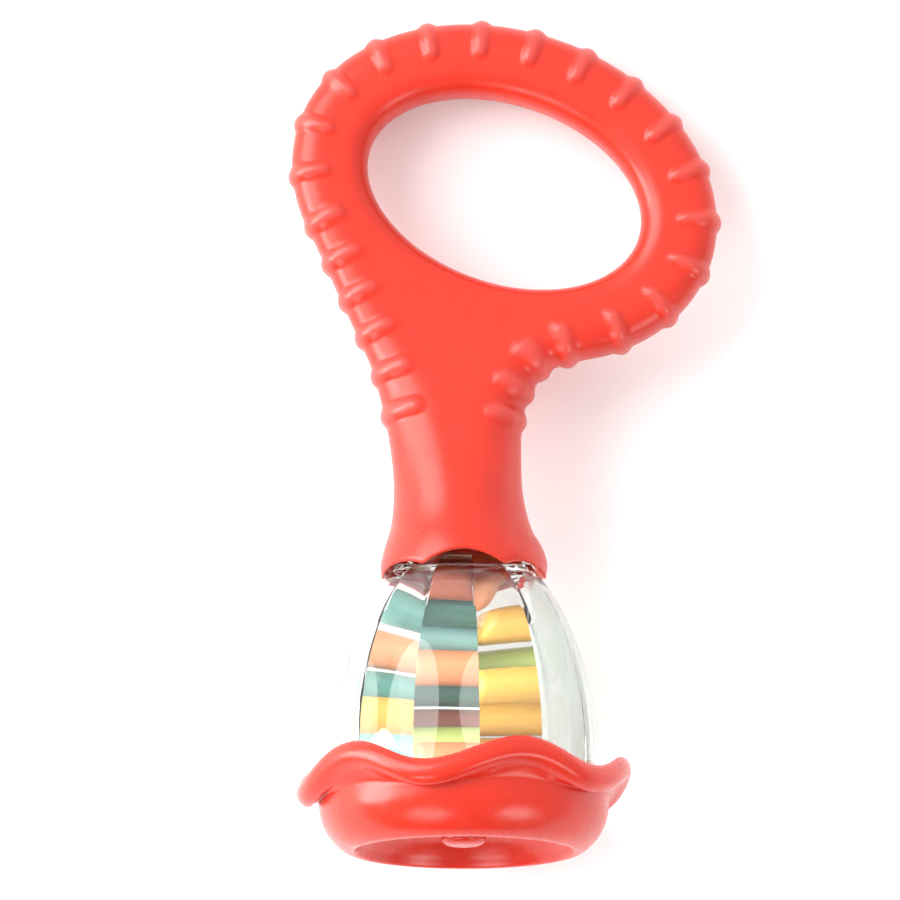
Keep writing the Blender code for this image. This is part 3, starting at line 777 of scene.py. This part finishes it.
class RATTLE_OT_beads(bpy.types.Operator):
    """Build the loose beads, each on its own body"""

    bl_idname = "rattle.beads"
    bl_label = "Beads"

    def execute(self, context):
        settings = context.scene.rattle_beads
        finishes = {}
        for node in sorted(n for n in frame["nodes"] if n.startswith("bead_")):
            colour = node.split("_")[-1]
            if colour not in finishes:
                tone = tuple(getattr(settings, colour))
                finishes[colour] = moulded_plastic(f"{colour} bead plastic", tone, 0.22, 0.38, cloud=0.12)
            corners = stand([list(corner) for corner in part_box(node)])
            body = frame["nodes"][node]["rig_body"]
            points, faces = bead_surface(corners.mean(axis=0), settings)
            bead = make_piece(f"{node}_pellet", points, faces, finishes[colour], body)
            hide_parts(node)
        return {"FINISHED"}


class RATTLE_OT_stage(bpy.types.Operator):
    """Lay the paper floor and set up the soft lights and the camera"""

    bl_idname = "rattle.stage"
    bl_label = "Stage"

    def execute(self, context):
        settings = context.scene.rattle_stage
        lowest = CAD_BOX[0].z
        mesh = bpy.data.meshes.new("floor")
        corners = FLOOR_HALF * np.array([(-1, -1), (1, -1), (1, 1), (-1, 1)])
        mesh.from_pydata(np.column_stack([corners, np.full(4, lowest)]), [], [(0, 1, 2, 3)])
        mesh.materials.append(floor_finish(tuple(settings.floor_colour)))
        ground = bpy.data.objects.new("floor", mesh)
        context.scene.collection.objects.link(ground)
        self.add_room(context, settings.near_wall, settings.far_wall)
        for name, power, place, size in LIGHTS:
            self.add_softbox(context, name, place, size, getattr(settings, power))
        self.add_camera(context, settings)
        return {"FINISHED"}

    @staticmethod
    def add_room(context, front, back_wall):
        room = bpy.data.worlds.new("white room")
        room.use_nodes = True
        tree = room.node_tree
        back = tree.nodes["Background"]
        back.inputs["Color"].default_value = (1.0, 1.0, 1.0, 1.0)
        axes = tree.nodes.new("ShaderNodeSeparateXYZ")
        tree.links.new(tree.nodes.new("ShaderNodeTexCoord").outputs["Generated"], axes.inputs["Vector"])
        glow = spread(tree, axes.outputs["Y"], front, back_wall, -0.8, 0.4)
        tree.links.new(glow, back.inputs["Strength"])
        context.scene.world = room
        context.scene.view_settings.view_transform = "Standard"
        context.scene.cycles.max_bounces = 24
        context.scene.cycles.glossy_bounces = 12
        context.scene.cycles.transmission_bounces = 20

    @staticmethod
    def add_softbox(context, name, place, size, power):
        data = bpy.data.lights.new(name, "AREA")
        data.shape = "DISK"
        data.size = size
        data.energy = power
        lamp = bpy.data.objects.new(name, data)
        lamp.location = place
        lamp.rotation_euler = (-lamp.location).to_track_quat("-Z", "Y").to_euler()
        lamp.visible_camera = False
        context.scene.collection.objects.link(lamp)

    @staticmethod
    def add_camera(context, settings):
        data = bpy.data.cameras.new("camera")
        data.sensor_width = SENSOR_WIDTH
        data.lens = data.sensor_width * settings.distance / settings.view_width
        data.dof.use_dof = False
        data.clip_end = 100.0
        camera = bpy.data.objects.new("camera", data)
        camera.location = (*CAMERA_OVER, settings.distance)
        context.scene.collection.objects.link(camera)
        context.scene.camera = camera


class RATTLE_PT_sidebar(bpy.types.Panel):
    """Settings and builders of the rattle"""

    bl_label = "Baby rattle"
    bl_idname = "RATTLE_PT_sidebar"
    bl_space_type = "VIEW_3D"
    bl_region_type = "UI"
    bl_category = "Rattle"

    def draw(self, context):
        for operator in OPERATORS:
            self.layout.operator(operator.bl_idname)
        for name in SETTINGS:
            group = getattr(context.scene, name)
            box = self.layout.box()
            for prop in group.bl_rna.properties:
                if prop.identifier not in ("rna_type", "name"):
                    box.prop(group, prop.identifier)


SETTINGS = {
    "rattle_handle": RattleHandleSettings,
    "rattle_chamber": RattleChamberSettings,
    "rattle_bumper": RattleBumperSettings,
    "rattle_beads": RattleBeadSettings,
    "rattle_stage": RattleStageSettings,
}
OPERATORS = (RATTLE_OT_handle, RATTLE_OT_chamber, RATTLE_OT_chamber_floor, RATTLE_OT_bumper,
             RATTLE_OT_beads, RATTLE_OT_stage)


def register():
    for made in (*SETTINGS.values(), *OPERATORS, RATTLE_PT_sidebar):
        bpy.utils.register_class(made)
    for name, group in SETTINGS.items():
        setattr(bpy.types.Scene, name, bpy.props.PointerProperty(type=group))


def unregister():
    for name in SETTINGS:
        delattr(bpy.types.Scene, name)
    for made in reversed((*SETTINGS.values(), *OPERATORS, RATTLE_PT_sidebar)):
        bpy.utils.unregister_class(made)


def main():
    register()
    bpy.ops.rattle.handle()
    bpy.ops.rattle.chamber()
    bpy.ops.rattle.chamber_floor()
    bpy.ops.rattle.bumper()
    bpy.ops.rattle.beads()
    bpy.ops.rattle.stage()


if __name__ == "__main__":
    main()
